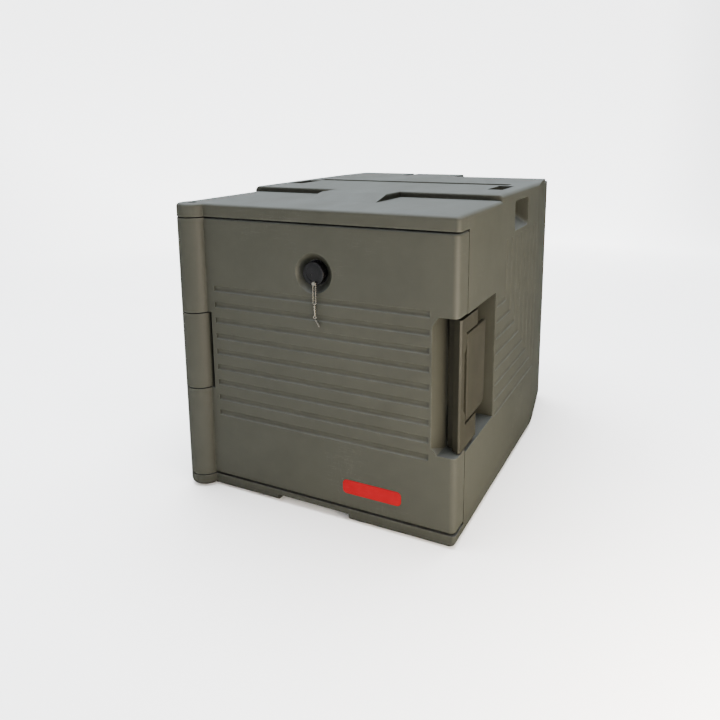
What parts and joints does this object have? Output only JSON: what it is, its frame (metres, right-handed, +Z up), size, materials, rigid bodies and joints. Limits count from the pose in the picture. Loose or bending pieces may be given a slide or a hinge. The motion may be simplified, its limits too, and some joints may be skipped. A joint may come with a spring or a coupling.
{
  "type": "insulated food carrier",
  "caption": "Front-loading insulated plastic carrier for full-size food pans: hinged grooved door with vent cap and bead chain, side latch lever, stacking top and hand grips.",
  "frame": {"origin": "centre of the bottom of the bounding box, on the floor that the four feet stand on", "axes": "+X to the right of the door seen from the front, where the latch is; +Y from the door to the back, the longest extent; +Z up"},
  "size_m": [0.462, 0.64, 0.4765],
  "materials": {
    "case_plastic": "fine-grained moulded polyethylene, satin",
    "liner_plastic": "smooth moulded polyethylene, satin",
    "foam": "rigid polyurethane foam, open cut cells",
    "latch_plastic": "moulded nylon, satin",
    "steel": "stainless, bright drawn",
    "chain_steel": "plated ball chain",
    "black_plastic": "moulded, semi-gloss",
    "seal_rubber": "silicone, matt",
    "foot_rubber": "rubber, matt",
    "washer_plastic": "acetal, satin",
    "label_red": "plain red plate, gloss, no lettering"
  },
  "bodies": {
    "case": {"outer_shell": "case_plastic", "inner_liner": "liner_plastic", "body_foam": "foam", "foot_front_left": "foot_rubber", "foot_front_right": "foot_rubber", "foot_rear_left": "foot_rubber", "foot_rear_right": "foot_rubber", "foot_screws": "steel", "hinge_pin": "steel", "hinge_pin_cap": "black_plastic", "hinge_washer_lower": "washer_plastic", "hinge_washer_upper": "washer_plastic", "latch_bracket": "latch_plastic", "latch_bracket_screws": "steel", "lever_pivot_rod": "steel"},
    "lever": {"latch_lever": "latch_plastic", "hook_pivot_rod": "steel"},
    "hook": {"latch_hook": "latch_plastic"},
    "door": {"door_shell": "case_plastic", "door_inner_panel": "liner_plastic", "door_foam": "foam", "door_seal": "seal_rubber", "vent_sleeve": "black_plastic", "vent_nut": "black_plastic", "label_plate": "label_red"},
    "cap": {"vent_cap": "black_plastic", "vent_seal": "seal_rubber", "chain_stud": "chain_steel"},
    "chain": {"bead_chain": "chain_steel", "chain_coupling": "chain_steel", "chain_link": "chain_steel", "toggle_bar": "chain_steel"}
  },
  "joints": [
    {"name": "door_swing", "type": "hinge", "parent": "case", "child": "door", "pos_m": [-0.206, -0.295, 0.233], "axis": [0, 0, -1], "range_deg": [0, 180]},
    {"name": "lever_swing", "type": "hinge", "parent": "case", "child": "lever", "pos_m": [0.218, -0.255, 0.238], "axis": [0, 0, -1], "range_deg": [0, 90]},
    {"name": "hook_swing", "type": "hinge", "parent": "lever", "child": "hook", "pos_m": [0.215, -0.243, 0.238], "axis": [0, 0, -1], "range_deg": [-108, 0]},
    {"name": "vent_cap_turn", "type": "hinge", "parent": "door", "child": "cap", "pos_m": [0.013, -0.301, 0.374], "axis": [0, -1, 0], "range_deg": [0, 90]},
    {"name": "chain_swing", "type": "hinge", "parent": "cap", "child": "chain", "pos_m": [0.016, -0.3046, 0.3605], "axis": [0, -1, 0], "range_deg": [-95, 95]}
  ],
  "couplings": [
    {"joint": "hook_swing", "follows": "lever_swing", "ratio": -1.2}
  ]
}
